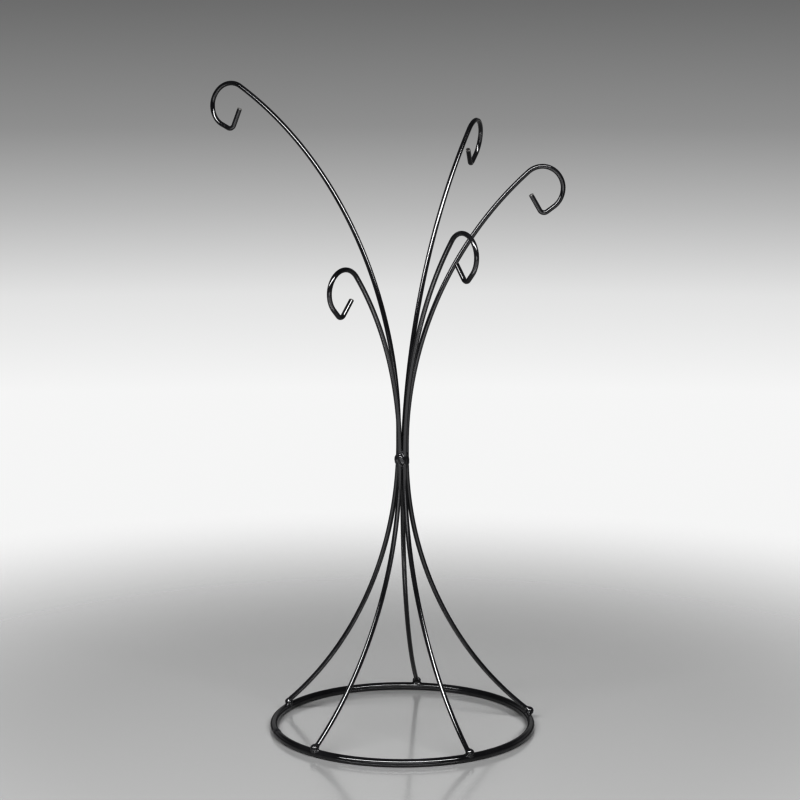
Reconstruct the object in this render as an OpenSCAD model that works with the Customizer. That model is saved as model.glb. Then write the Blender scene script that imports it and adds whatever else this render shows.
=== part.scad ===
// Wire mug tree: five bent wires welded together at the waist and onto a round base ring.
// The origin is the centre of the base ring on the surface it stands on, with +Z up.
// A turn is an angle seen from above: 0 points right (+X) and 90 points to the back (+Y).

/* [Base ring] */
// Outside diameter of the base ring
ring_od = 140; // [90:1:220]
// Thickness of the base ring's wire
ring_wire_d = 4; // [3:0.1:8]
// Turn at which the two ends of the ring are butt welded
ring_joint_turn = 196; // [190:1:220]
// Opening between the ends of the ring that the butt weld fills
ring_joint_gap = 2.6; // [0.5:0.1:5]
// How far the butt weld stands proud on top of the ring
ring_weld_crown = 0.3; // [0.1:0.05:0.8]

/* [Upright wires] */
// Thickness of the wire that the legs, arms and hooks are bent from
wire_d = 2.5; // [1.6:0.1:4]
// Height of the waist, where the five wires are welded together
waist_height = 144; // [90:1:200]
// Length of the straight stretch of each wire between its leg and its arm
waist_straight = 5; // [2:0.5:15]
// Turn of the right wire's place in the waist bundle
bundle_turn = 14; // [0:1:72]
// How far past the middle of the ring's wire each leg is cut off
leg_overrun = 0.6; // [0:0.1:1.5]

/* [Hooks] */
// Radius of the hook's round bend, to the middle of the wire
hook_bend_r = 11.5; // [6:0.5:25]
// How far round the hook's bend goes
hook_bend_turn = 186; // [160:1:210]
// Straight stretch after the hook's bend
hook_straight = 4.5; // [1:0.5:15]
// Radius of the tight bend at the bottom of the hook, to the middle of the wire
hook_nose_r = 2.75; // [2.5:0.05:6]
// How far round the tight bend goes
hook_nose_turn = 94; // [60:1:110]
// Length of the straight tip, which points back up
hook_tip_length = 9.5; // [3:0.5:15]
// Chamfer round the cut end of the tip
hook_tip_chamfer = 0.25; // [0.1:0.05:0.5]

/* [Left wire] */
// Turn of the left leg
left_leg_turn = 155; // [140:1:175]
// Turn of the left arm
left_arm_turn = 145; // [135:1:175]
// Height of its straight stretch above the waist weld
left_rise = 9; // [-18:1:15]
// Height at which it turns into its hook
left_hook_height = 334.5; // [260:0.5:420]
// Distance from the middle of the tree at which it turns into its hook
left_reach = 105; // [70:1:130]
// Twist of its hook about the end of the arm
left_hook_twist = 8; // [-20:1:20]

/* [Back wire] */
// Turn of the back leg
back_leg_turn = 83; // [70:1:100]
// Turn of the back arm
back_arm_turn = 56; // [50:1:100]
// Height of its straight stretch above the waist weld
back_rise = -17; // [-18:1:15]
// Height at which it turns into its hook
back_hook_height = 312; // [240:0.5:400]
// Distance from the middle of the tree at which it turns into its hook
back_reach = 65; // [40:1:110]
// Twist of its hook about the end of the arm
back_hook_twist = 16; // [-20:1:20]

/* [Right wire] */
// Turn of the right leg
right_leg_turn = 11; // [0:1:28]
// Turn of the right arm
right_arm_turn = 14; // [0:1:28]
// Height of its straight stretch above the waist weld
right_rise = 2; // [-18:1:15]
// Height at which it turns into its hook
right_hook_height = 292; // [230:0.5:380]
// Distance from the middle of the tree at which it turns into its hook
right_reach = 67; // [40:1:110]
// Twist of its hook about the end of the arm
right_hook_twist = 0; // [-20:1:20]

/* [Front right wire] */
// Turn of the front right leg
front_right_leg_turn = 299; // [288:1:316]
// Turn of the front right arm
front_right_arm_turn = 305; // [288:1:316]
// Height of its straight stretch above the waist weld
front_right_rise = -4; // [-18:1:15]
// Height at which it turns into its hook
front_right_hook_height = 261.5; // [220:0.5:340]
// Distance from the middle of the tree at which it turns into its hook
front_right_reach = 43; // [30:1:90]
// Twist of its hook about the end of the arm
front_right_hook_twist = 0; // [-20:1:20]

/* [Front left wire] */
// Turn of the front left leg
front_left_leg_turn = 230; // [216:1:244]
// Turn of the front left arm
front_left_arm_turn = 230; // [216:1:244]
// Height of its straight stretch above the waist weld
front_left_rise = -2; // [-18:1:15]
// Height at which it turns into its hook
front_left_hook_height = 242.5; // [215:0.5:320]
// Distance from the middle of the tree at which it turns into its hook
front_left_reach = 36; // [28:1:90]
// Twist of its hook about the end of the arm
front_left_hook_twist = 0; // [-20:1:20]

/* [Welds] */
// Diameter of the bead at each foot
foot_bead_d = 4.6; // [3:0.1:8]
// How far each foot bead sits beyond the end of its leg
foot_bead_past = 0.5; // [0:0.1:1.5]
// Diameter of the beads between the wires at the waist
waist_bead_d = 3.5; // [2.5:0.1:5]
// Height of each waist bead, laid as a row of three drops
waist_bead_height = 6.8; // [4:0.1:12]
// How far each waist bead stands out of the groove between two wires
waist_bead_out = 0.5; // [0:0.1:1]

/* [Hidden] */

coat_colour = [0.05, 0.05, 0.055];
weld_colour = [0.1, 0.1, 0.105];

// Facets of a wire's section, of its small bends and of its long sweeps
section_fn = 32;
bend_fn = 96;
sweep_fn = 360;

wire_count = 5;
slot_step = 360 / wire_count;
// Clearance between wires that lie side by side, and under a leg that stands on the ring
fit_gap = 0.04;
// How much thicker than the wire the ball between two stretches of it is
joint_swell = 0.02;

ring_r = (ring_od - ring_wire_d) / 2;
foot_r = ring_r + leg_overrun;
// The wires stand side by side round the middle of the waist
bundle_r = (wire_d + fit_gap) / (2 * sin(slot_step / 2));
groove_r = bundle_r * cos(slot_step / 2);

// A wire is [slot in the bundle, leg turn, arm turn, rise, hook height, reach, hook twist]
right = [0, right_leg_turn, right_arm_turn, right_rise,
         right_hook_height, right_reach, right_hook_twist];
back = [1, back_leg_turn, back_arm_turn, back_rise,
        back_hook_height, back_reach, back_hook_twist];
left = [2, left_leg_turn, left_arm_turn, left_rise,
        left_hook_height, left_reach, left_hook_twist];
front_left = [3, front_left_leg_turn, front_left_arm_turn, front_left_rise,
              front_left_hook_height, front_left_reach, front_left_hook_twist];
front_right = [4, front_right_leg_turn, front_right_arm_turn, front_right_rise,
               front_right_hook_height, front_right_reach, front_right_hook_twist];

function slot_turn(slot) = bundle_turn + slot_step * slot;
function leg_turn(wire) = wire[1];
function arm_turn(wire) = wire[2];
function leg_top(wire) = waist_height + wire[3];
function hook_height(wire) = wire[4];
function reach(wire) = wire[5];
function hook_twist(wire) = wire[6];

function place(wire) = bundle_r * [cos(slot_turn(wire[0])), sin(slot_turn(wire[0]))];
// How far a wire goes sideways from its place in the bundle to end at radius r
function travel(wire, turn, r) =
    let (p = place(wire), along = p * [cos(turn), sin(turn)])
    -along + sqrt(along * along - p * p + r * r);
// A sweep that starts upright turns by this much on its way out and up, or down
function sweep_turn(out, rise) = 2 * atan(out / rise);
function sweep_r(out, rise) = rise / sin(sweep_turn(out, rise));

function leg_out(wire) = travel(wire, leg_turn(wire), foot_r);
// The lower edge of a leg's cut end stands on the ring
function leg_slope(wire) = sweep_turn(leg_out(wire), leg_top(wire) - ring_wire_d - wire_d / 2);
function foot_height(wire) =
    let (edge = leg_overrun - wire_d / 2 * cos(leg_slope(wire)), r = ring_wire_d / 2 + fit_gap)
    ring_wire_d / 2 + sqrt(r * r - edge * edge) + wire_d / 2 * sin(leg_slope(wire));
function leg_drop(wire) = leg_top(wire) - foot_height(wire);

function arm_out(wire) = travel(wire, arm_turn(wire), reach(wire));
function arm_rise(wire) = hook_height(wire) - leg_top(wire) - waist_straight;

// A ball a hair thicker than the wire, which joins one stretch of it to the next
module joint_ball() {
    sphere(d = wire_d + joint_swell, $fn = bend_fn);
}

// A bent wire that starts at the origin heading +Z and turns towards +X
module bend(r, turn, fn = bend_fn) {
    translate([r, 0, 0])
        rotate([90, 0, 180])
            rotate_extrude(angle = turn, $fn = fn)
                translate([r, 0])
                    circle(d = wire_d, $fn = section_fn);
    if ($children > 0)
        after_bend(r, turn) {
            joint_ball();
            children();
        }
}

// The place and heading at the end of such a bend
module after_bend(r, turn) {
    translate([r * (1 - cos(turn)), 0, r * sin(turn)])
        rotate([0, turn, 0])
            children();
}

module straight(length) {
    cylinder(d = wire_d, h = length, $fn = section_fn);
    translate([0, 0, length]) {
        joint_ball();
        children();
    }
}

module tip() {
    shank = hook_tip_length - hook_tip_chamfer;
    cylinder(d = wire_d, h = shank, $fn = section_fn);
    translate([0, 0, shank])
        cylinder(d1 = wire_d, d2 = wire_d - 2 * hook_tip_chamfer, h = hook_tip_chamfer,
                 $fn = section_fn);
}

module hook() {
    bend(hook_bend_r, hook_bend_turn)
        straight(hook_straight)
            bend(hook_nose_r, hook_nose_turn)
                tip();
}

module at_leg_top(wire) {
    translate([place(wire)[0], place(wire)[1], leg_top(wire)])
        children();
}

module heading_down(turn) {
    rotate([0, 0, turn])
        rotate([180, 0, 0])
            children();
}

module leg(wire) {
    at_leg_top(wire)
        heading_down(leg_turn(wire))
            bend(sweep_r(leg_out(wire), leg_drop(wire)),
                 sweep_turn(leg_out(wire), leg_drop(wire)), sweep_fn);
}

module arm(wire) {
    at_leg_top(wire) {
        joint_ball();
        straight(waist_straight)
            rotate([0, 0, arm_turn(wire)])
                bend(sweep_r(arm_out(wire), arm_rise(wire)),
                     sweep_turn(arm_out(wire), arm_rise(wire)), sweep_fn)
                    rotate([0, 0, hook_twist(wire)])
                        hook();
    }
}

module bent_wire(wire) {
    color(coat_colour) {
        leg(wire);
        arm(wire);
    }
}

function ring_turn(length) = length / ring_r * 180 / PI;

// Sweeps its children, drawn about the middle of the ring's wire, along a stretch of the ring
module along_ring(turn_from, turn) {
    rotate([0, 0, turn_from])
        translate([0, 0, ring_wire_d / 2])
            rotate_extrude(angle = turn, $fn = sweep_fn)
                translate([ring_r, 0])
                    children();
}

module base_ring() {
    gap_turn = ring_turn(ring_joint_gap);
    color(coat_colour)
        along_ring(ring_joint_turn + gap_turn / 2, 360 - gap_turn)
            circle(d = ring_wire_d, $fn = section_fn);
}

// The butt weld fills the gap and stands proud on top; underneath it is ground flush
module ring_butt_weld() {
    gap_turn = ring_turn(ring_joint_gap);
    color(weld_colour)
        along_ring(ring_joint_turn - gap_turn / 2, gap_turn)
            for (lift = [0, ring_weld_crown])
                translate([0, lift])
                    circle(d = ring_wire_d, $fn = section_fn);
}

module wire_left() { bent_wire(left); }
module wire_back() { bent_wire(back); }
module wire_right() { bent_wire(right); }
module wire_front_right() { bent_wire(front_right); }
module wire_front_left() { bent_wire(front_left); }

// A drop of weld round the cut end of a leg, shaped by the leg and the ring that it joins
module foot_weld(wire) {
    color(weld_colour)
        difference() {
            at_leg_top(wire)
                heading_down(leg_turn(wire))
                    after_bend(sweep_r(leg_out(wire), leg_drop(wire)),
                               sweep_turn(leg_out(wire), leg_drop(wire)))
                        translate([0, 0, foot_bead_past])
                            sphere(d = foot_bead_d, $fn = bend_fn);
            leg(wire);
            base_ring();
        }
}

module foot_weld_left() { foot_weld(left); }
module foot_weld_back() { foot_weld(back); }
module foot_weld_right() { foot_weld(right); }
module foot_weld_front_right() { foot_weld(front_right); }
module foot_weld_front_left() { foot_weld(front_left); }

// Three drops of weld, one above the other, in the groove between two wires
module waist_weld(wire_a, wire_b) {
    drop_step = (waist_bead_height - waist_bead_d) / 2;
    color(weld_colour)
        difference() {
            rotate([0, 0, slot_turn(wire_a[0]) + slot_step / 2])
                for (level = [-1:1])
                    translate([groove_r + waist_bead_out, 0, waist_height + level * drop_step])
                        sphere(d = waist_bead_d, $fn = bend_fn);
            bent_wire(wire_a);
            bent_wire(wire_b);
            // The weld stays outside the line where the two wires meet
            translate([0, 0, waist_height - waist_bead_height])
                cylinder(r = groove_r, h = 2 * waist_bead_height, $fn = bend_fn);
        }
}

module waist_weld_left() { waist_weld(left, front_left); }
module waist_weld_back_left() { waist_weld(back, left); }
module waist_weld_back_right() { waist_weld(right, back); }
module waist_weld_right() { waist_weld(front_right, right); }
module waist_weld_front() { waist_weld(front_left, front_right); }

base_ring();
ring_butt_weld();
wire_left();
wire_back();
wire_right();
wire_front_right();
wire_front_left();
foot_weld_left();
foot_weld_back();
foot_weld_right();
foot_weld_front_right();
foot_weld_front_left();
waist_weld_left();
waist_weld_back_left();
waist_weld_back_right();
waist_weld_right();
waist_weld_front();
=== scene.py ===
from math import atan, ceil, cos, degrees, pi, radians, sin, sqrt

import bmesh
import bpy
import numpy as np
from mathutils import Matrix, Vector, noise


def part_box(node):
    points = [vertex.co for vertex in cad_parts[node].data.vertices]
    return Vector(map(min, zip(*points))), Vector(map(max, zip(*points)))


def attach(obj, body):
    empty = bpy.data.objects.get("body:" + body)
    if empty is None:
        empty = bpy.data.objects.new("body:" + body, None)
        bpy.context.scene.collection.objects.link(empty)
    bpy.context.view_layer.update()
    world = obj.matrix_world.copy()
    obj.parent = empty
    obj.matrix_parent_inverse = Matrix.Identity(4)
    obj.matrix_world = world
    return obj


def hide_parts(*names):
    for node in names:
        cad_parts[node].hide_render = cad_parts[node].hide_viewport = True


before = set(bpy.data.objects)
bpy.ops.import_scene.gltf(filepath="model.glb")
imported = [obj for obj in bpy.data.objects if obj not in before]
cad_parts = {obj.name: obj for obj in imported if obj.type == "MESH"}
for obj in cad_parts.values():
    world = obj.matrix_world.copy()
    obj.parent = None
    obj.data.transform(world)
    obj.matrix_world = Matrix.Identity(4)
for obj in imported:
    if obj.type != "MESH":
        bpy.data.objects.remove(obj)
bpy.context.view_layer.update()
print("frame loaded:", len(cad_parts), "CAD pieces")

mm = 0.001
up = Vector((0, 0, 1))

# sizes that every wire shares, in millimetres and degrees
tree = {
    "wire": 2.5,
    "ringWire": 4,
    "ringWidth": 140,
    "waistHeight": 144,
    "waistStraight": 5,
    "wireCount": 5,
    "bundleTurn": 14,      # where the right wire stands in the waist bundle
    "legOverrun": 0.6,     # how far past the ring's middle a leg is cut off
    "gap": 0.04,           # between wires that lie side by side
    "hair": 0.03,          # off each wire's radius, so that its finer mesh stays in the CAD's box
    "pathStep": 0.9,       # the longest step along a wire, and the most that it turns in one
    "bendStep": 5,
    "fewestSteps": {"bend": 6, "straight": 3},
    "sides": 48,
    "offBox": 0.15,        # how far a wire may end up from its CAD box
}

wireR = tree["wire"] / 2
ringWireR = tree["ringWire"] / 2
ringR = tree["ringWidth"] / 2 - ringWireR
slotStep = 360 / tree["wireCount"]
bundleR = (tree["wire"] + tree["gap"]) / (2 * sin(radians(slotStep / 2)))
grooveR = bundleR * cos(radians(slotStep / 2))


def outward(turn):
    return Vector((cos(radians(turn)), sin(radians(turn)), 0))


# what all three finishes share
enamelMix = {
    "ior": 1.52, "coatIor": 1.5,
    "patchScale": 55, "nibScale": 420, "rubScale": 1600,
    "toneSpan": (0.35, 0.72),      # from the deepest colour to the most worn
    "glossSpan": (0.3, 0.7),
    "nibReach": 0.16,
}
enamelOnWire = {
    "name": "blackEnamelOnWire",
    "deep": (0.008, 0.008, 0.009), "worn": (0.02, 0.02, 0.022),
    "gloss": (0.09, 0.17),         # roughness from the glossiest to the dullest patch
    "coat": 0.35, "coatRough": 0.04,
    "peelSize": 0.9, "peelDepth": 0.0015,
    "specks": 0.5, "edge": (0.16, 0.155, 0.15),
}
enamelOnRing = {
    "name": "blackEnamelOnRing",
    "deep": (0.008, 0.008, 0.009), "worn": (0.022, 0.022, 0.024),
    "gloss": (0.08, 0.17),
    "coat": 0.35, "coatRough": 0.04,
    "peelSize": 1.2, "peelDepth": 0.0025,
    "specks": 0.6, "edge": (0.14, 0.135, 0.13),
}
enamelOnWeld = {
    "name": "blackEnamelOnWeld",
    "deep": (0.009, 0.009, 0.01), "worn": (0.027, 0.027, 0.029),
    "gloss": (0.08, 0.18),
    "coat": 0.35, "coatRough": 0.04,
    "peelSize": 0.7, "peelDepth": 0.003,
    "specks": 0.5, "edge": (0.16, 0.155, 0.15),
}


def addNode(graph, kind, place, sockets=None, **settings):
    node = graph.nodes.new(kind)
    node.location = place
    for name, value in settings.items():
        setattr(node, name, value)
    for name, value in (sockets or {}).items():
        node.inputs[name].default_value = value
    return node


def texture(graph, kind, place, sockets):
    # a pattern that is fixed to the piece
    node = addNode(graph, kind, place, sockets)
    where = addNode(graph, "ShaderNodeTexCoord", (place[0] - 250, place[1]))
    graph.links.new(where.outputs["Object"], node.inputs["Vector"])
    return node


def remap(graph, place, source, span, result, shape="LINEAR"):
    # stretches a value from one span to another
    node = addNode(graph, "ShaderNodeMapRange", place, {
        "From Min": span[0], "From Max": span[1], "To Min": result[0], "To Max": result[1],
    }, interpolation_type=shape)
    graph.links.new(source, node.inputs["Value"])
    return node.outputs["Result"]


def ramp(graph, place, source, stops):
    # a colour ramp; stops are pairs of place and colour
    node = addNode(graph, "ShaderNodeValToRGB", place)
    marks = node.color_ramp.elements
    for at, colour in stops[1:-1]:
        marks.new(at)
    for mark, (at, colour) in zip(marks, stops):
        mark.position = at
        mark.color = (*colour, 1)
    graph.links.new(source, node.inputs["Fac"])
    return node.outputs["Color"]


def reckon(graph, place, operation, first, second, clamp=False):
    # one step of arithmetic; first may be a plain number
    node = addNode(graph, "ShaderNodeMath", place, operation=operation, use_clamp=clamp)
    if isinstance(first, bpy.types.NodeSocket):
        graph.links.new(first, node.inputs[0])
    else:
        node.inputs[0].default_value = first
    graph.links.new(second, node.inputs[1])
    return node.outputs[0]


def enamel(look):
    made = bpy.data.materials.new(look["name"])
    made.use_nodes = True
    graph = made.node_tree
    paint = graph.nodes["Principled BSDF"]
    paint.inputs["IOR"].default_value = enamelMix["ior"]
    paint.inputs["Coat Weight"].default_value = look["coat"]
    paint.inputs["Coat Roughness"].default_value = look["coatRough"]
    paint.inputs["Coat IOR"].default_value = enamelMix["coatIor"]

    # broad patches where the coat went on thick or thin
    patches = texture(graph, "ShaderNodeTexNoise", (-900, 250),
                      {"Scale": enamelMix["patchScale"], "Detail": 4, "Roughness": 0.6})
    tone = ramp(graph, (-600, 300), patches.outputs["Fac"],
                list(zip(enamelMix["toneSpan"], (look["deep"], look["worn"]))))
    rough = remap(graph, (-200, 0), patches.outputs["Fac"], enamelMix["glossSpan"], look["gloss"])

    # the coat is thin over a cut edge and lets a little steel through
    edge = addNode(graph, "ShaderNodeAttribute", (-900, 550), attribute_name="cutEdge")
    rub = texture(graph, "ShaderNodeTexNoise", (-900, 780),
                  {"Scale": enamelMix["rubScale"], "Detail": 3})
    bare = reckon(graph, (-600, 600), "MULTIPLY", edge.outputs["Fac"], rub.outputs["Fac"],
                  clamp=True)
    colour = addNode(graph, "ShaderNodeMix", (-200, 350), data_type="RGBA")
    colour.inputs["B"].default_value = (*look["edge"], 1)
    graph.links.new(bare, colour.inputs["Factor"])
    graph.links.new(tone, colour.inputs["A"])

    # orange peel, and dust nibs caught in the paint
    peel = texture(graph, "ShaderNodeTexNoise", (-900, -50),
                   {"Scale": 1 / (look["peelSize"] * mm), "Detail": 2, "Roughness": 0.45})
    nibs = texture(graph, "ShaderNodeTexVoronoi", (-900, -350),
                   {"Scale": enamelMix["nibScale"], "Randomness": 1})
    speck = remap(graph, (-600, -350), nibs.outputs["Distance"], (0, enamelMix["nibReach"]),
                  (look["specks"], 0), "SMOOTHSTEP")
    height = reckon(graph, (-200, -250), "ADD", peel.outputs["Fac"], speck)
    bump = addNode(graph, "ShaderNodeBump", (0, -250),
                   {"Strength": 1, "Distance": look["peelDepth"] * mm})
    graph.links.new(height, bump.inputs["Height"])

    graph.links.new(colour.outputs["Result"], paint.inputs["Base Color"])
    graph.links.new(rough, paint.inputs["Roughness"])
    graph.links.new(bump.outputs["Normal"], paint.inputs["Normal"])
    graph.links.new(bump.outputs["Normal"], paint.inputs["Coat Normal"])
    return made


wireCoat = enamel(enamelOnWire)
ringCoat = enamel(enamelOnRing)
weldCoat = enamel(enamelOnWeld)
print("finishes mixed")

pieces = []


def pieceFrom(name, points, faces, wear, coat, node):
    bm = bmesh.new()
    verts = [bm.verts.new(p) for p in points]
    for face in faces:
        bm.faces.new([verts[i] for i in face])
    bmesh.ops.recalc_face_normals(bm, faces=bm.faces)
    mesh = bpy.data.meshes.new(name)
    bm.to_mesh(mesh)
    bm.free()
    mesh.shade_smooth()
    worn = mesh.attributes.new("cutEdge", "FLOAT", "POINT")
    worn.data.foreach_set("value", wear)
    mesh.materials.append(coat)
    piece = bpy.data.objects.new(name, mesh)
    bpy.context.scene.collection.objects.link(piece)
    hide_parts(node)
    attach(piece, "root")
    pieces.append(piece)
    return piece


def checkPlace(piece, node, offBox):
    low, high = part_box(node)
    corners = [Vector(c) for c in piece.bound_box]
    off = max(abs(min(c[i] for c in corners) - low[i]) for i in range(3))
    off = max(off, max(abs(max(c[i] for c in corners) - high[i]) for i in range(3)))
    print(f"  {piece.name}: {len(piece.data.polygons)} faces, off its CAD box by {off / mm:.3f} mm")
    if off > offBox * mm:
        raise ValueError(f"{piece.name} isn't where the frame has {node}")


def tubeFaces(rows, sides):
    # four-sided faces between rings of points that follow each other
    faces = []
    for i in range(rows - 1):
        for k in range(sides):
            n = (k + 1) % sides
            faces.append((i * sides + k, i * sides + n, (i + 1) * sides + n, (i + 1) * sides + k))
    return faces


# how a bar's cut ends are finished
cutEnd = {
    "ease": (0, 0.06, 0.25, 0.58, 1),        # stations over the rounded edge, in shares of it
    "clear": 1.3,                            # how many edges from the cut the plain stations start
    "wearReach": 3,                          # how many edges from the cut the paint is worn
    "bare": 0.6,                             # wear above this counts as full
    "dish": ((0.62, 0.03), (0.3, 0.05)),     # rings of the hollow: share of the radius, depth in mm
    "dishMiddle": 0.055,
    "dishWear": 0.4,
}
firstSide = (0.3, 0.2, 0.93)   # any way that no bar sets out


def resample(path, edges):
    # stations along a bar, crowded at both cut ends, where the edge is rounded over
    path = np.array([tuple(p) for p in path])
    run = np.concatenate([[0], np.cumsum(np.linalg.norm(np.diff(path, axis=0), axis=1))])
    first = [edges[0] * e for e in cutEnd["ease"]]
    last = [run[-1] - edges[1] * e for e in reversed(cutEnd["ease"])]
    low, high = edges[0] * cutEnd["clear"], run[-1] - edges[1] * cutEnd["clear"]
    marks = np.array(first + [r for r in run if low < r < high] + last)
    points = np.stack([np.interp(marks, run, path[:, i]) for i in range(3)], axis=1)
    return points, marks, run[-1]


def sweep(path, radius, sides, edges, lean):
    # a round bar along the path; each cut leans, is rounded over and a little hollow
    points, marks, length = resample(path, edges)
    ahead = np.gradient(points, marks, axis=0)
    ahead /= np.linalg.norm(ahead, axis=1)[:, None]
    side = np.cross(ahead[0], firstSide)
    frames = []
    for p, t in zip(points, ahead):
        side = side - t * side.dot(t)
        side = side / np.linalg.norm(side)
        frames.append((p, t, side))

    stations = []      # middle, heading, side, radius, lean, wear
    for (p, t, s), mark in zip(frames, marks):
        atStart = mark < length / 2
        edge = edges[0] if atStart else edges[1]
        near = mark if atStart else length - mark
        cut = edge - sqrt(edge ** 2 - (edge - min(near, edge)) ** 2)
        fade = max(0, 1 - near / (cutEnd["wearReach"] * edge))
        worn = 1 if fade > cutEnd["bare"] else fade
        stations.append((p, t, s, radius - cut, lean * fade, worn))
    for end, edge, sign in ((0, edges[0], 1), (-1, edges[1], -1)):
        p, t, s = frames[end]
        dish = [(p + sign * t * depth * mm, t, s, (radius - edge) * part, lean, cutEnd["dishWear"])
                for part, depth in cutEnd["dish"]]
        stations = dish[::-1] + stations if end == 0 else stations + dish

    verts, wear = [], []
    for p, t, s, r, tilt, worn in stations:
        other = np.cross(t, s)
        for k in range(sides):
            a = 2 * pi * k / sides
            verts.append(tuple(p + r * (cos(a) * s + sin(a) * other + tilt * cos(a) * t)))
            wear.append(worn)
    faces = tubeFaces(len(stations), sides)
    for end, sign in ((0, 1), (-1, -1)):
        p, t, s = frames[end]
        rim = (len(stations) - 1) * sides if end else 0
        verts.append(tuple(p + sign * t * cutEnd["dishMiddle"] * mm))
        wear.append(cutEnd["dishWear"])
        for k in range(sides):
            faces.append((rim + k, rim + (k + 1) % sides, len(verts) - 1))
    return verts, faces, wear


baseRing = {"jointTurn": 196, "jointGap": 2.6, "stations": 720, "sides": 40, "edge": 0.1,
            "offBox": 0.1}
gapTurn = degrees(baseRing["jointGap"] / ringR)


def ringPath(turnFrom, turnTo, count):
    turns = [turnFrom + (turnTo - turnFrom) * i / count for i in range(count + 1)]
    return [(outward(t) * ringR + up * ringWireR) * mm for t in turns]


ringLine = ringPath(baseRing["jointTurn"] + gapTurn / 2,
                    baseRing["jointTurn"] + 360 - gapTurn / 2, baseRing["stations"])
verts, faces, wear = sweep(ringLine, ringWireR * mm, baseRing["sides"],
                           (baseRing["edge"] * mm, baseRing["edge"] * mm), 0)
ring = pieceFrom("baseRing", verts, faces, wear, ringCoat, "base_ring")
checkPlace(ring, "base_ring", baseRing["offBox"])
print("base ring swept")

# the hook that every arm ends in, and how its wire is cut
hookShape = {
    "bendR": 11.5, "bendTurn": 186,
    "straight": 4.5,
    "noseR": 2.75, "noseTurn": 94,
    "tip": 9.5, "tipEdge": 0.25, "footEdge": 0.1, "cutLean": 0.07,
}
# rise lifts the top of the leg, and twist turns the hook out of the arm's own plane
leftWire = {"slot": 2, "legTurn": 155, "armTurn": 145, "rise": 9,
            "hookHeight": 334.5, "reach": 105, "twist": 8}
backWire = {"slot": 1, "legTurn": 83, "armTurn": 56, "rise": -17,
            "hookHeight": 312, "reach": 65, "twist": 16}
rightWire = {"slot": 0, "legTurn": 11, "armTurn": 14, "rise": 2,
             "hookHeight": 292, "reach": 67, "twist": 0}
frontRightWire = {"slot": 4, "legTurn": 299, "armTurn": 305, "rise": -4,
                  "hookHeight": 261.5, "reach": 43, "twist": 0}
frontLeftWire = {"slot": 3, "legTurn": 230, "armTurn": 230, "rise": -2,
                 "hookHeight": 242.5, "reach": 36, "twist": 0}


def travel(place, turn, reach):
    # how far a wire goes sideways from its place in the bundle to end at that reach
    along = place.dot(outward(turn))
    return -along + sqrt(along ** 2 - place.length_squared + reach ** 2)


def sweepTurn(out, rise):
    # how far an arc turns if it starts upright and goes that far out and up
    return 2 * atan(out / rise)


def bend(path, heading, side, r, turn):
    start = path[-1]
    count = ceil(max(r * turn / tree["pathStep"], turn / radians(tree["bendStep"])))
    count = max(tree["fewestSteps"]["bend"], count)
    for i in range(1, count + 1):
        a = turn * i / count
        path.append(start + side * r * (1 - cos(a)) + heading * r * sin(a))
    return heading * cos(turn) + side * sin(turn), side * cos(turn) - heading * sin(turn)


def straight(path, heading, length):
    start = path[-1]
    count = max(tree["fewestSteps"]["straight"], ceil(length / tree["pathStep"]))
    for i in range(1, count + 1):
        path.append(start + heading * length * i / count)


def wirePath(wire):
    place = outward(tree["bundleTurn"] + slotStep * wire["slot"]) * bundleR
    legTop = tree["waistHeight"] + wire["rise"]

    # the leg, from the waist down to where its lower edge meets the ring
    out = travel(place, wire["legTurn"], ringR + tree["legOverrun"])
    slope = sweepTurn(out, legTop - tree["ringWire"] - wireR)
    edge = tree["legOverrun"] - wireR * cos(slope)
    crown = sqrt((ringWireR + tree["gap"]) ** 2 - edge ** 2)
    drop = legTop - (ringWireR + crown + wireR * sin(slope))
    turn = sweepTurn(out, drop)
    leg = [place + up * legTop]
    bend(leg, -up, outward(wire["legTurn"]), drop / sin(turn), turn)

    # the arm and its hook
    arm = [place + up * legTop]
    straight(arm, up, tree["waistStraight"])
    out = travel(place, wire["armTurn"], wire["reach"])
    rise = wire["hookHeight"] - legTop - tree["waistStraight"]
    turn = sweepTurn(out, rise)
    heading, side = bend(arm, up, outward(wire["armTurn"]), rise / sin(turn), turn)
    twist = radians(wire["twist"])
    side = side * cos(twist) + heading.cross(side) * sin(twist)
    heading, side = bend(arm, heading, side, hookShape["bendR"], radians(hookShape["bendTurn"]))
    straight(arm, heading, hookShape["straight"])
    heading, side = bend(arm, heading, side, hookShape["noseR"], radians(hookShape["noseTurn"]))
    straight(arm, heading, hookShape["tip"])
    return [p * mm for p in leg[::-1] + arm[1:]]


wires = {
    "left": leftWire, "back": backWire, "right": rightWire,
    "front_right": frontRightWire, "front_left": frontLeftWire,
}
lines = {}
for name, wire in wires.items():
    lines[name] = wirePath(wire)
    verts, faces, wear = sweep(lines[name], (wireR - tree["hair"]) * mm, tree["sides"],
                               (hookShape["footEdge"] * mm, hookShape["tipEdge"] * mm),
                               hookShape["cutLean"])
    piece = pieceFrom(name.replace("_", "-") + "-wire", verts, faces, wear, wireCoat,
                      "wire_" + name)
    checkPlace(piece, "wire_" + name, tree["offBox"])
print("wires bent")

# melt and blend are how wide the fillets are, between drops and onto the wires
footBead = {"size": 4.6, "past": 0.5, "melt": 0.1, "blend": 0.9, "ripple": 0.10, "grain": 1.3,
            "reach": 3.6, "tall": 1, "firstSeed": 0, "nearStations": 14, "offBox": 2.5}
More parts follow.
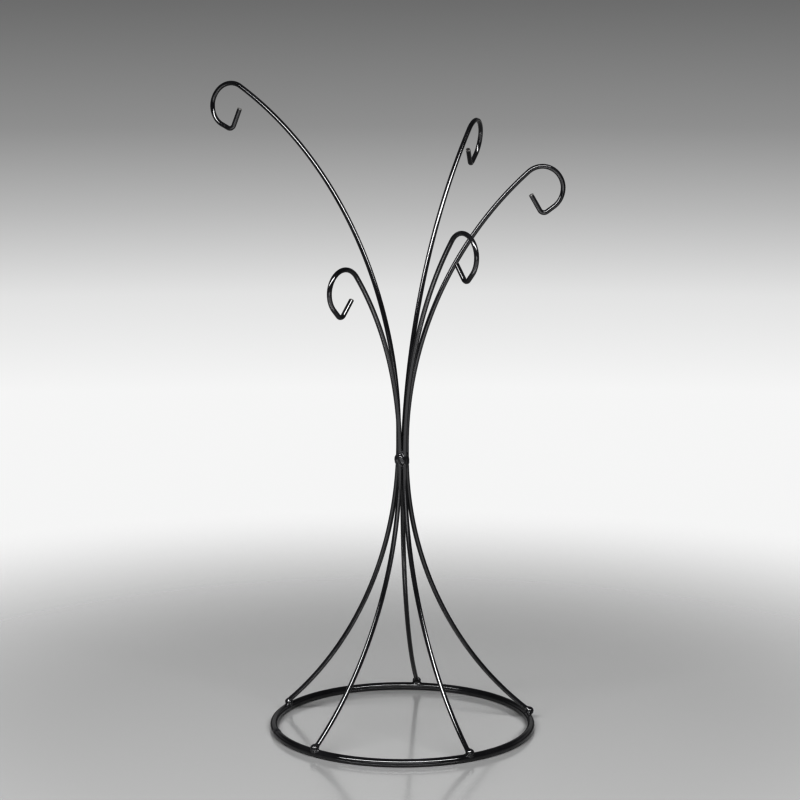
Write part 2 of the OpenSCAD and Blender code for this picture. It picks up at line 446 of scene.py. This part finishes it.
# where each foot's drop of weld sits: round the ring, up, and past the leg's end; and its size
footDrops = {
    "left": (0.3, -1.5, -2.2, 0.85), "back": (0.2, 0.0, 0.0, 1.0), "right": (-0.2, -0.1, 0.3, 1.0),
    "front_right": (0.7, -0.2, -0.2, 0.92), "front_left": (-0.6, -0.1, -0.1, 0.94),
}
waistBead = {"size": 3.5, "out": 0.5, "melt": 1.5, "blend": 0.7, "ripple": 0.11, "grain": 1.8,
             "reach": 5.2, "tall": 1.8, "firstSeed": 9, "nearHeight": 9, "offBox": 2.5}
# the drops of each waist weld: up, round the bundle, out, and size
waistDrops = {
    "left": ((-1.0, 0.1, 0.0, 1.0), (0.9, -0.1, 0.05, 1.04)),
    "back_left": ((-1.5, 0.0, 0.0, 0.95), (0.3, 0.1, 0.1, 1.0), (1.6, -0.1, 0.0, 0.85)),
    "back_right": ((-1.2, -0.1, 0.0, 0.9), (1.1, 0.1, 0.05, 1.0)),
    "right": ((-1.7, 0.0, -0.2, 0.9), (0.1, 0.1, -0.35, 0.85), (1.4, 0.0, -0.35, 0.75)),
    "front": ((-1.3, 0.3, -0.1, 0.8), (0.0, 0.35, 0.2, 0.8), (0.9, -0.35, 0.35, 0.85),
              (1.8, -0.95, 0.1, 0.75)),
}
waistPairs = {
    "left": ("left", "front_left"), "back_left": ("back", "left"),
    "back_right": ("right", "back"), "right": ("front_right", "right"),
    "front": ("front_left", "front_right"),
}
underWire = 0.03   # a bead's skin dives this far under the wire where it fades out
# how finely a bead is grown: steps out from its middle, then halvings of the last one
beadGrowth = {"subdivisions": 5, "steps": 14, "halvings": 9, "farAway": 1000,
              "seedShift": (7.3, 3.1, 5.7)}


def toLine(points, line):
    # distance from each point to a run of short straight stretches
    a, b = line[:-1], line[1:]
    span = b - a
    size = (span ** 2).sum(1)
    t = ((points[:, None] - a) * span).sum(2) / size
    near = a + np.clip(t, 0, 1)[..., None] * span
    return np.sqrt(((points[:, None] - near) ** 2).sum(2)).min(1)


def toRing(points):
    # distance from each point to the middle line of the ring's wire
    flat = np.hypot(points[:, 0], points[:, 1]) - ringR
    return np.hypot(flat, points[:, 2] - ringWireR)


def melt(a, b, k):
    # union of two solids with a fillet about k wide where they meet
    h = np.clip(0.5 + 0.5 * (b - a) / k, 0, 1)
    return b * (1 - h) + a * h - k * h * (1 - h)


def bead(centre, drops, near, onRing, look, seed):
    # grows a skin from the bead's middle out to where the weld, melted onto its wires, ends
    ball = bmesh.new()
    bmesh.ops.create_icosphere(ball, subdivisions=beadGrowth["subdivisions"], radius=1)
    ways = np.array([tuple(v.co) for v in ball.verts])
    faces = [[v.index for v in f.verts] for f in ball.faces]
    ball.free()
    ways[:, 2] *= look["tall"]
    ways /= np.linalg.norm(ways, axis=1)[:, None]
    shift = Vector([step * seed for step in beadGrowth["seedShift"]])

    def depth(points):
        d = np.full(len(points), beadGrowth["farAway"])
        for at, r in drops:
            d = melt(d, np.linalg.norm(points - at, axis=1) - r, look["melt"])
        d = d - look["ripple"] * np.array(
            [noise.noise(Vector(p) / look["grain"] + shift) for p in points])
        for line in near:
            d = melt(d, toLine(points, line) - wireR + underWire, look["blend"])
        if onRing:
            d = melt(d, toRing(points) - ringWireR + underWire, look["blend"])
        return d

    low = np.zeros(len(ways))
    high = np.full(len(ways), np.nan)
    for i in range(1, beadGrowth["steps"] + 1):
        t = np.full(len(ways), look["reach"] * i / beadGrowth["steps"])
        todo = np.isnan(high)
        out = np.zeros(len(ways), bool)
        out[todo] = depth(centre + ways[todo] * t[todo, None]) > 0
        high[out] = t[out]
        low[todo & ~out] = t[todo & ~out]
    high = np.where(np.isnan(high), look["reach"], high)
    for _ in range(beadGrowth["halvings"]):
        t = (low + high) / 2
        out = depth(centre + ways * t[:, None]) > 0
        high = np.where(out, t, high)
        low = np.where(out, low, t)
    points = (centre + ways * low[:, None]) * mm
    return [tuple(p) for p in points], faces


def weldPiece(name, points, faces, node, offBox):
    piece = pieceFrom(name, points, faces, [0.0] * len(points), weldCoat, node)
    checkPlace(piece, node, offBox)


def inMillimetres(path):
    return np.array([tuple(p / mm) for p in path])


for seed, (name, drop) in enumerate(footDrops.items(), footBead["firstSeed"]):
    across, rise, past, size = drop
    line = inMillimetres(lines[name])
    foot, ahead = line[0], line[0] - line[1]
    ahead /= np.linalg.norm(ahead)
    aside = np.array((-foot[1], foot[0], 0)) / ringR
    middle = foot + ahead * (footBead["past"] + past) + aside * across
    middle[2] += rise
    points, faces = bead(middle, [(middle, footBead["size"] / 2 * size)],
                         [line[:footBead["nearStations"]]], True, footBead, seed)
    weldPiece(name.replace("_", "-") + "-foot-weld", points, faces, "foot_weld_" + name,
              footBead["offBox"])
print("feet welded")

for seed, (name, pair) in enumerate(waistPairs.items(), waistBead["firstSeed"]):
    turns = [tree["bundleTurn"] + slotStep * wires[w]["slot"] for w in pair]
    turn = sum(turns) / 2 + (180 if abs(turns[0] - turns[1]) > 180 else 0)
    out, aside = outward(turn), outward(turn + 90)
    middle = out * (grooveR + waistBead["out"]) + up * tree["waistHeight"]
    drops = [(np.array(middle + up * rise + aside * across + out * push),
              waistBead["size"] / 2 * size)
             for rise, across, push, size in waistDrops[name]]
    near = []
    for w in pair:
        line = inMillimetres(lines[w])
        near.append(line[np.abs(line[:, 2] - tree["waistHeight"]) < waistBead["nearHeight"]])
    points, faces = bead(np.array(middle), drops, near, False, waistBead, seed)
    weldPiece(name.replace("_", "-") + "-waist-weld", points, faces, "waist_weld_" + name,
              waistBead["offBox"])
print("waist welded")

# a low collar over the ring's joint, flush with the wire underneath
buttWeld = {"crown": 0.3, "spread": 1.6, "stations": 28, "sides": 40, "round": 0.7,
            "sideShare": 0.3, "ripple": 0.06, "grainAlong": 2.2, "grainRound": 1.4,
            "seed": 4, "offBox": 1.5}


def collar(look):
    spanTurn = degrees((look["spread"] + baseRing["jointGap"]) / ringR)
    points = []
    for i in range(look["stations"] + 1):
        along = 2 * i / look["stations"] - 1
        turn = baseRing["jointTurn"] + along * spanTurn / 2
        swell = (1 - along ** 2) ** look["round"]
        for k in range(look["sides"]):
            a = 2 * pi * k / look["sides"]
            lump = noise.noise(Vector((along * look["grainAlong"], cos(a) * look["grainRound"],
                                       sin(a) * look["grainRound"] + look["seed"])))
            share = look["sideShare"]
            proud = look["crown"] * max(0, share + (1 - share) * sin(a))
            r = ringWireR - underWire + swell * (proud + underWire)
            r += swell * look["ripple"] * lump * max(0, sin(a) + share)
            points.append(tuple((outward(turn) * (ringR + r * cos(a))
                                 + up * (ringWireR + r * sin(a))) * mm))
    faces = tubeFaces(look["stations"] + 1, look["sides"])
    for i in (0, look["stations"]):
        faces.append(tuple(i * look["sides"] + k for k in range(look["sides"])))
    return points, faces


points, faces = collar(buttWeld)
weldPiece("ring-butt-weld", points, faces, "ring_butt_weld", buttWeld["offBox"])
print("ring joint welded")

# The floor, air, lamps and camera are in metres. The floor fades into the air well away from
# the tree, so that no edge shows.
floorLook = {"radius": 1.3, "sides": 120, "full": 0.16, "gone": 0.55, "tone": 0.34, "gloss": 0.3,
             "coat": 1, "coatRough": 0.12, "coatIor": 2}


def layFloor(look):
    bm = bmesh.new()
    turns = [360 * i / look["sides"] for i in range(look["sides"])]
    bm.faces.new([bm.verts.new(outward(t) * look["radius"]) for t in turns])
    mesh = bpy.data.meshes.new("paleFloor")
    bm.to_mesh(mesh)
    bm.free()
    floor = bpy.data.objects.new("paleFloor", mesh)
    bpy.context.scene.collection.objects.link(floor)

    paper = bpy.data.materials.new("palePaper")
    paper.use_nodes = True
    graph = paper.node_tree
    base = graph.nodes["Principled BSDF"]
    base.inputs["Base Color"].default_value = (*[look["tone"]] * 3, 1)
    base.inputs["Roughness"].default_value = look["gloss"]
    base.inputs["Coat Weight"].default_value = look["coat"]
    base.inputs["Coat Roughness"].default_value = look["coatRough"]
    base.inputs["Coat IOR"].default_value = look["coatIor"]
    where = addNode(graph, "ShaderNodeTexCoord", (-900, 0))
    away = addNode(graph, "ShaderNodeVectorMath", (-700, 0), operation="LENGTH")
    graph.links.new(where.outputs["Object"], away.inputs[0])
    clear = remap(graph, (-500, 0), away.outputs["Value"], (look["full"], look["gone"]), (1, 0),
                  "SMOOTHSTEP")
    # what the enamel mirrors is the whole floor, not only the part that shows
    path = addNode(graph, "ShaderNodeLightPath", (-500, 300))
    whole = reckon(graph, (-300, 300), "SUBTRACT", 1, path.outputs["Is Camera Ray"])
    solid = reckon(graph, (-150, 0), "MAXIMUM", clear, whole)
    graph.links.new(solid, base.inputs["Alpha"])
    mesh.materials.append(paper)


# grey levels of the air, as pairs: the sine of how far up or down it lies, and its brightness
airLook = {
    "seen": ((-0.16, 0.95), (-0.12, 0.85), (-0.085, 0.64), (-0.05, 0.455), (0, 0.32),
             (0.1, 0.1), (0.3, 0.04)),
    # what the enamel mirrors: a pale backdrop behind the tree and a dark room before it
    "backdrop": ((-0.16, 0.8), (-0.05, 0.3), (0.02, 0.1), (0.13, 0.08), (0.2, 0.55),
                 (0.34, 0.5), (0.5, 0.04)),
    "room": 0.03,
    "backdropSpan": (0.1, 0.6),    # how far round to the back the room gives way to the backdrop
}


def greyByHeight(graph, place, height, levels):
    # a grey ramp up the air; levels are pairs of height and brightness
    low, high = levels[0][0], levels[-1][0]
    climb = remap(graph, (place[0] - 200, place[1]), height, (low, high), (0, 1))
    stops = [((at - low) / (high - low), (level,) * 3) for at, level in levels]
    return ramp(graph, place, climb, stops)


def mixGreys(graph, place, factor, first, second):
    # first may be a plain colour
    mixed = addNode(graph, "ShaderNodeMix", place, data_type="RGBA")
    graph.links.new(factor, mixed.inputs["Factor"])
    if isinstance(first, bpy.types.NodeSocket):
        graph.links.new(first, mixed.inputs["A"])
    else:
        mixed.inputs["A"].default_value = first
    graph.links.new(second, mixed.inputs["B"])
    return mixed.outputs["Result"]


def fillAir(look):
    world = bpy.data.worlds.new("studioAir")
    bpy.context.scene.world = world
    world.use_nodes = True
    graph = world.node_tree
    compass = addNode(graph, "ShaderNodeTexCoord", (-900, 0))
    way = addNode(graph, "ShaderNodeSeparateXYZ", (-700, 0))
    graph.links.new(compass.outputs["Generated"], way.inputs["Vector"])
    seen = greyByHeight(graph, (-300, 0), way.outputs["Z"], look["seen"])
    backdrop = greyByHeight(graph, (-300, -300), way.outputs["Z"], look["backdrop"])
    behind = remap(graph, (-500, -600), way.outputs["Y"], look["backdropSpan"], (0, 1),
                   "SMOOTHSTEP")
    mirrored = mixGreys(graph, (0, -300), behind, (*[look["room"]] * 3, 1), backdrop)
    path = addNode(graph, "ShaderNodeLightPath", (0, 300))
    both = mixGreys(graph, (200, 0), path.outputs["Is Camera Ray"], mirrored, seen)
    graph.links.new(both, graph.nodes["Background"].inputs["Color"])


# where each lamp hangs, what it points at, its width and height, and watts
lamps = {
    # a long softbox overhead
    "topBox": {"at": (-0.2, -1.15, 1.4), "aim": (-0.2, 0, 0.1), "size": (3.4, 0.45),
               "watts": 125, "treeOnly": False},
    # a low card facing the tree, lighting it alone, so that the floor doesn't mirror the card
    "lowCard": {"at": (0, -1.3, 0.17), "aim": (0, 0, 0.1), "size": (1.6, 0.28),
                "watts": 6, "treeOnly": True},
    # a pale card lying on the floor before the tree, which gives the wires their soft lines
    "tableCard": {"at": (0, -0.72, 0.004), "aim": (0, -0.72, 1), "size": (1.6, 1.1),
                  "watts": 9, "treeOnly": False},
}
treeOnly = bpy.data.collections.new("treeOnly")
for piece in pieces:
    treeOnly.objects.link(piece)


def hangLamp(name, look):
    lamp = bpy.data.lights.new(name, "AREA")
    lamp.shape = "RECTANGLE"
    lamp.size, lamp.size_y = look["size"]
    lamp.energy = look["watts"]
    hung = bpy.data.objects.new(name, lamp)
    hung.location = look["at"]
    toAim = Vector(look["aim"]) - Vector(look["at"])
    hung.rotation_euler = toAim.to_track_quat("-Z", "Y").to_euler()
    hung.visible_camera = False
    if look["treeOnly"]:
        hung.light_linking.receiver_collection = treeOnly
    bpy.context.scene.collection.objects.link(hung)


lens = {"place": (-0.00126, -1.2, 0.3765), "down": 9.52, "length": 105.72, "film": 36,
        "near": 0.01, "far": 100, "contrast": 0.6}


def standCamera(look):
    eye = bpy.data.cameras.new("eye")
    eye.sensor_width = look["film"]
    eye.lens = look["length"]
    eye.clip_start, eye.clip_end = look["near"], look["far"]
    watcher = bpy.data.objects.new("eye", eye)
    watcher.location = look["place"]
    watcher.rotation_euler = (radians(90 - look["down"]), 0, 0)
    bpy.context.scene.collection.objects.link(watcher)
    bpy.context.scene.camera = watcher
    bpy.context.scene.view_settings.view_transform = "Standard"
    bpy.context.scene.view_settings.gamma = look["contrast"]


layFloor(floorLook)
fillAir(airLook)
for name, look in lamps.items():
    hangLamp(name, look)
standCamera(lens)
print("floor, light and camera set")
